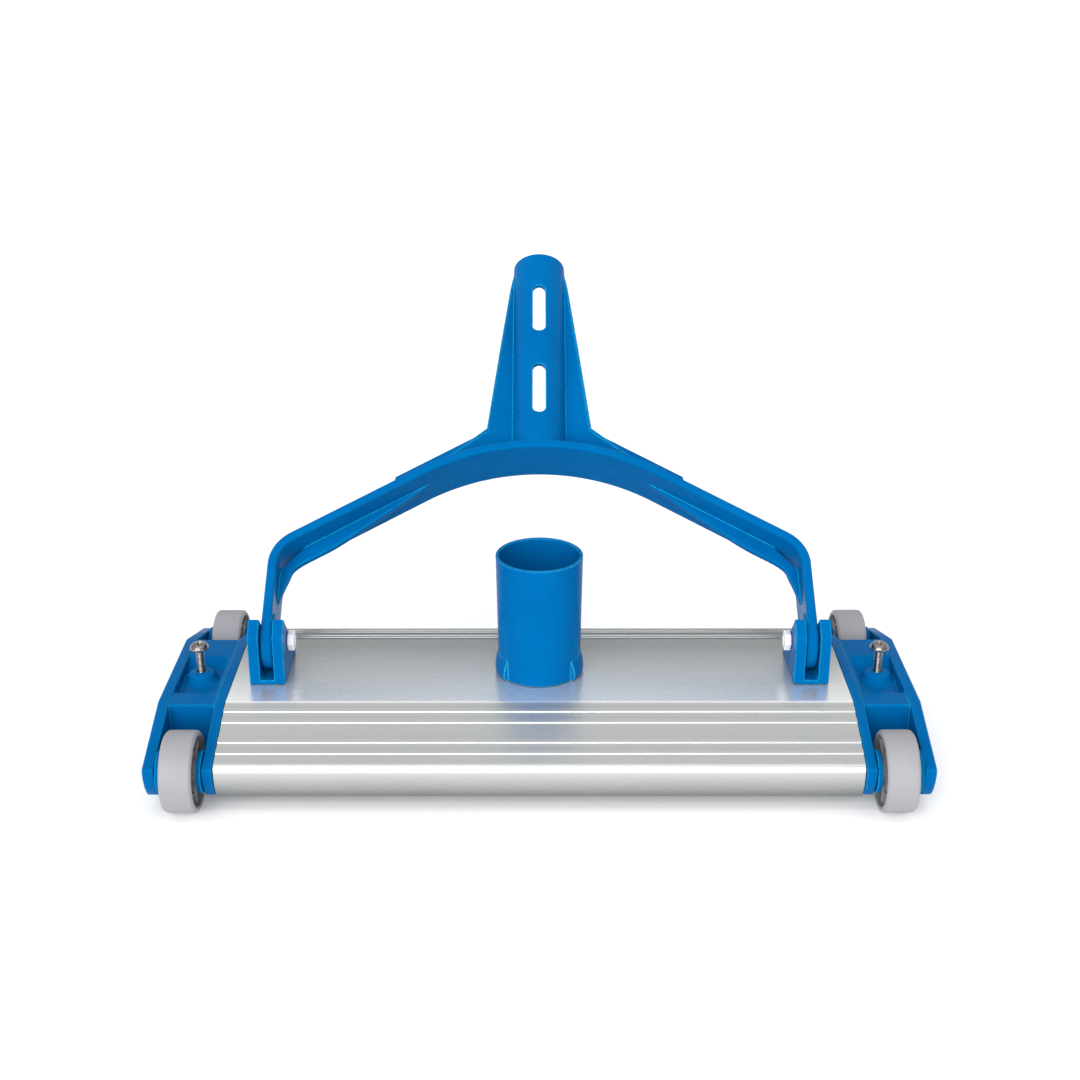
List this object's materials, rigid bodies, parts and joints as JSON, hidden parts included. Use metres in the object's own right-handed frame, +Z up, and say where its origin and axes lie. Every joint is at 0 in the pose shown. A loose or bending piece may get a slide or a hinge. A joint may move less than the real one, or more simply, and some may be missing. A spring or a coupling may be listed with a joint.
{
  "type": "manual pool vacuum head",
  "caption": "Wheeled aluminium pool vacuum head with a tall hose port, a swinging yoke handle with a half-round pole cradle, and screw-set ride height.",
  "frame": {"origin": "on the floor under the wheels, at the centre of the whole footprint, with the handle lying back on its stops", "axes": "+X across the head to its right end, +Y to the back, towards which the handle leans, +Z up"},
  "size_m": [0.4254, 0.3288, 0.2387],
  "materials": {
    "anodised_aluminium": "satin anodised, extruded grain along the length",
    "blue_plastic": "moulded, semi-gloss",
    "wheel_plastic": "moulded, satin",
    "pin_plastic": "moulded, satin",
    "black_rubber": "smooth",
    "stainless_steel": "bright, turned",
    "brass_insert": "turned"
  },
  "bodies": {
    "base": {"body_extrusion": "anodised_aluminium", "hose_port": "blue_plastic", "hose_port_gasket": "black_rubber", "hose_port_locknut": "blue_plastic", "left_bracket_front_screw": "stainless_steel", "left_bracket_rear_screw": "stainless_steel", "left_clevis": "blue_plastic", "left_clevis_inner_screw": "stainless_steel", "left_clevis_outer_screw": "stainless_steel", "left_end_bracket": "blue_plastic", "left_hinge_pin": "pin_plastic", "left_pin_retainer": "stainless_steel", "left_threaded_insert": "brass_insert", "right_bracket_front_screw": "stainless_steel", "right_bracket_rear_screw": "stainless_steel", "right_clevis": "blue_plastic", "right_clevis_inner_screw": "stainless_steel", "right_clevis_outer_screw": "stainless_steel", "right_end_bracket": "blue_plastic", "right_hinge_pin": "pin_plastic", "right_pin_retainer": "stainless_steel", "right_threaded_insert": "brass_insert"},
    "handle": {"handle": "blue_plastic"},
    "left_carriage": {"left_wheel_carriage": "blue_plastic", "left_front_axle": "stainless_steel", "left_rear_axle": "stainless_steel"},
    "left_adjuster": {"left_adjusting_screw": "stainless_steel", "left_screw_clip": "stainless_steel"},
    "left_front_roller": {"left_front_wheel": "wheel_plastic"},
    "left_rear_roller": {"left_rear_wheel": "wheel_plastic"},
    "right_carriage": {"right_wheel_carriage": "blue_plastic", "right_front_axle": "stainless_steel", "right_rear_axle": "stainless_steel"},
    "right_adjuster": {"right_adjusting_screw": "stainless_steel", "right_screw_clip": "stainless_steel"},
    "right_front_roller": {"right_front_wheel": "wheel_plastic"},
    "right_rear_roller": {"right_rear_wheel": "wheel_plastic"}
  },
  "joints": [
    {"name": "handle_hinge", "type": "hinge", "parent": "base", "child": "handle", "pos_m": [0, -0.06806, 0.0644], "axis": [1, 0, 0], "range_deg": [0, 140]},
    {"name": "left_carriage_slide", "type": "slide", "parent": "base", "child": "left_carriage", "axis": [0, 0, -1], "range_m": [0, 0.008]},
    {"name": "left_screw_turn", "type": "hinge", "parent": "left_carriage", "child": "left_adjuster", "pos_m": [-0.196, -0.06606, 0.05], "axis": [0, 0, -1], "range_deg": [0, 3600]},
    {"name": "left_front_wheel_spin", "type": "hinge", "parent": "left_carriage", "child": "left_front_roller", "pos_m": [-0.1932, -0.14206, 0.0223], "axis": [1, 0, 0], "continuous": true},
    {"name": "left_rear_wheel_spin", "type": "hinge", "parent": "left_carriage", "child": "left_rear_roller", "pos_m": [-0.1932, 0.00994, 0.0223], "axis": [1, 0, 0], "continuous": true},
    {"name": "right_carriage_slide", "type": "slide", "parent": "base", "child": "right_carriage", "axis": [0, 0, -1], "range_m": [0, 0.008]},
    {"name": "right_screw_turn", "type": "hinge", "parent": "right_carriage", "child": "right_adjuster", "pos_m": [0.196, -0.06606, 0.05], "axis": [0, 0, -1], "range_deg": [0, 3600]},
    {"name": "right_front_wheel_spin", "type": "hinge", "parent": "right_carriage", "child": "right_front_roller", "pos_m": [0.1932, -0.14206, 0.0223], "axis": [1, 0, 0], "continuous": true},
    {"name": "right_rear_wheel_spin", "type": "hinge", "parent": "right_carriage", "child": "right_rear_roller", "pos_m": [0.1932, 0.00994, 0.0223], "axis": [1, 0, 0], "continuous": true}
  ],
  "couplings": [
    {"joint": "left_screw_turn", "follows": "left_carriage_slide", "rad_per_m": 7854},
    {"joint": "right_screw_turn", "follows": "right_carriage_slide", "rad_per_m": 7854}
  ]
}
